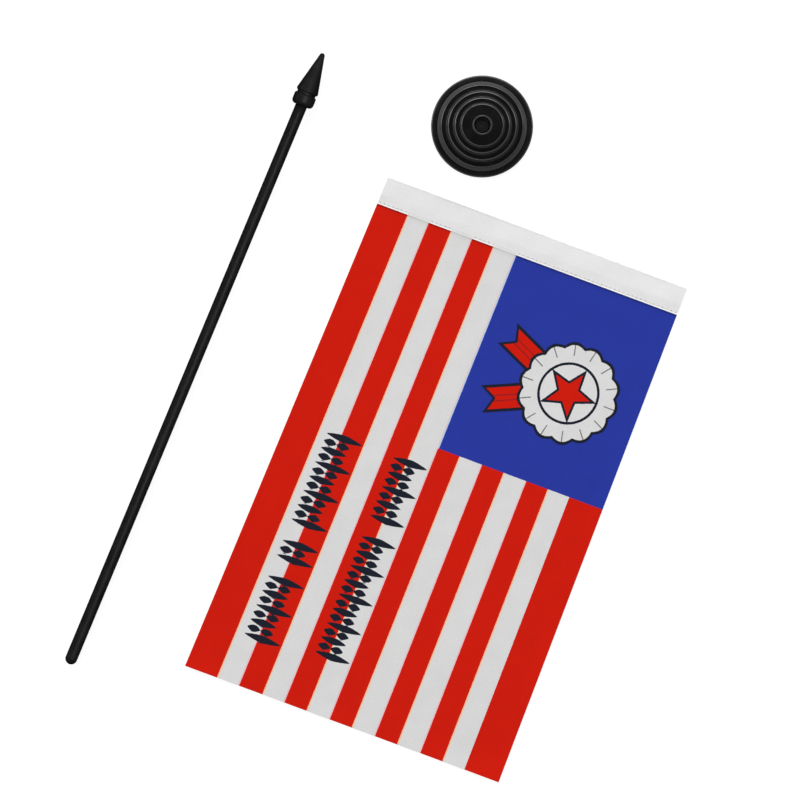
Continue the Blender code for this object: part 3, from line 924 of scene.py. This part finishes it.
def thread_material():
    g = Graph("twisted_thread")
    place = g.object_place()
    strands = g.node("TexWave", wave_type="BANDS", bands_direction="DIAGONAL")
    g.put(place, strands.inputs["Vector"])
    strands.inputs["Scale"].default_value = 2200
    strands.inputs["Distortion"].default_value = 1.5
    tone = g.noise(place, 900, 2, 0.5)
    colour = g.mix(g.times(strands.outputs["Fac"], 0.4), linear(238, 238, 236), linear(206, 206, 206))
    g.put(g.mix(g.times(tone, 0.2), colour, linear(190, 190, 190)), g.shader.inputs["Base Color"])
    g.put(g.range(tone, 0.3, 0.7, 0.6, 0.8), g.shader.inputs["Roughness"])
    g.bump(strands.outputs["Fac"], 0.4, WEAVE_DEPTH)
    return g.material


# ---------------------------------------------------------------- room, light and camera

CAMERA_PLACE = Vector((-0.0371, -0.1237, 3.0))
VIEW_WIDTH = 0.362
SENSOR = 36.0
ROOM_LEVEL = 1.35
# How bright the room is, from the horizon and below (0) to straight overhead (1)
ROOM_BANDS = ((0.0, 1.0), (0.3, 1.0), (0.62, 0.8), (0.80, 0.5), (0.90, 0.08), (1.0, 0.02))
SLANT_AWAY, SLANT_ACROSS = 0.40, -0.17
TABLE_SIZE = 4.0
TABLE_DROP = 0.02 * MM


def table_top():
    g = Graph("table_top")
    tree = g.tree
    seen = g.node("LightPath").outputs["Is Camera Ray"]
    speck = g.noise(g.object_place(), 30, 2, 0.5)
    pale = g.mix(g.range(speck, 0.3, 0.7, 0.0, 1.0), grey(0.235), grey(0.245))
    g.put(g.mix(seen, grey(0.07), pale), g.shader.inputs["Base Color"])
    g.shader.inputs["Roughness"].default_value = 0.9
    g.shader.inputs["Specular IOR Level"].default_value = 0.0
    glow = g.node("Emission")
    g.put(g.times(seen, 0.86), glow.inputs["Strength"])
    both = g.node("AddShader")
    output = tree.nodes["Material Output"]
    tree.links.new(g.shader.outputs[0], both.inputs[0])
    tree.links.new(glow.outputs[0], both.inputs[1])
    tree.links.new(both.outputs[0], output.inputs["Surface"])
    size, drop = TABLE_SIZE, -TABLE_DROP
    corners = [(-size, -size, drop), (size, -size, drop), (size, size, drop), (-size, size, drop)]
    floor = add_piece("table_top", corners, [(0, 1, 2, 3)], g.material, smooth=False)


def surroundings():
    """A pale room: bright low round the sides, dark overhead, brighter towards +Y."""
    world = bpy.data.worlds.new("studio")
    bpy.context.scene.world = world
    world.use_nodes = True
    g = Graph.of_tree(world.node_tree)
    across, away, up = g.xyz(g.node("TexCoord").outputs["Generated"])
    level = g.ramp(up, [(place, grey(tone)) for place, tone in ROOM_BANDS])
    slant = g.add(g.add(g.times(away, SLANT_AWAY), g.times(across, SLANT_ACROSS)), 1.0)
    seen = g.node("LightPath").outputs["Is Camera Ray"]
    background = g.tree.nodes["Background"]
    g.put(g.mix(seen, level, grey(1.0)), background.inputs["Color"])
    lit = g.times(slant, ROOM_LEVEL, g.math("SUBTRACT", 1.0, seen))
    g.put(g.add(lit, g.times(seen, 1.02)), background.inputs["Strength"])


def soft_light(name, place, target, width, height, power):
    light = bpy.data.lights.new(name, "AREA")
    light.shape = "RECTANGLE"
    light.size = width
    light.size_y = height
    light.energy = power
    lamp = bpy.data.objects.new(name, light)
    lamp.visible_camera = False
    bpy.context.scene.collection.objects.link(lamp)
    aim = Vector(target) - Vector(place)
    lamp.matrix_world = Matrix.Translation(place) @ aim.to_track_quat("-Z", "Y").to_matrix().to_4x4()
    return lamp


def lights_only(lamp, *pieces):
    """Links a lamp to some pieces, so that it lights nothing else."""
    lit = bpy.data.collections.new("lit_by_" + lamp.name)
    for piece in pieces:
        lit.objects.link(piece)
    lamp.light_linking.receiver_collection = lit


def camera():
    data = bpy.data.cameras.new("camera")
    data.sensor_width = SENSOR
    data.lens = SENSOR * CAMERA_PLACE.z / VIEW_WIDTH
    data.clip_end = 50
    eye = bpy.data.objects.new("camera", data)
    eye.location = CAMERA_PLACE
    bpy.context.scene.collection.objects.link(eye)
    bpy.context.scene.camera = eye
    bpy.context.scene.view_settings.view_transform = "Standard"


def lamps_all_round():
    """Three soft lamps: one beyond the table's far side, and one at each side."""
    soft_light("light_far", (0.0, 1.5, 1.05), (-0.03, -0.05, 0), 1.6, 0.6, power=9)
    soft_light("light_left", (-1.5, 0.5, 0.9), (-0.03, -0.1, 0), 0.7, 1.0, power=4)
    soft_light("light_right", (1.5, 0.5, 0.9), (-0.03, -0.1, 0), 0.7, 1.0, power=3)


def base_with_lamp():
    plastic = base_material()
    base = stand_base(plastic)
    base_ribs(plastic)
    lamp = soft_light("light_into_socket", (0.0, 0.0, 1.3), (0, 0, 0), 0.15, 0.15, power=3)
    lamp.visible_glossy = False
    lights_only(lamp, base)


def pole_with_lamp():
    rod_plastic = moulded_plastic("pole_plastic", (0.0020, 0.0020, 0.0020), 0.5, 0.04, 0.35)
    cap_plastic = moulded_plastic("finial_plastic", (0.0023, 0.0022, 0.0024), 0.48, 0.05, 0.35)
    pole = pole_rod(rod_plastic.material)
    finial = spear_finial(cap_plastic.material)
    lamp = soft_light("light_over_pole", (0.14, -0.12, 1.3), (-0.13, -0.1, 0), 0.5, 0.5, power=38)
    lights_only(lamp, pole, finial)


def main():
    camera()
    surroundings()
    table_top()
    lamps_all_round()
    base_with_lamp()
    pole_with_lamp()
    hem_sleeve(hem_material())
    seam_stitches(thread_material())
    printed_field(print_material())


main()
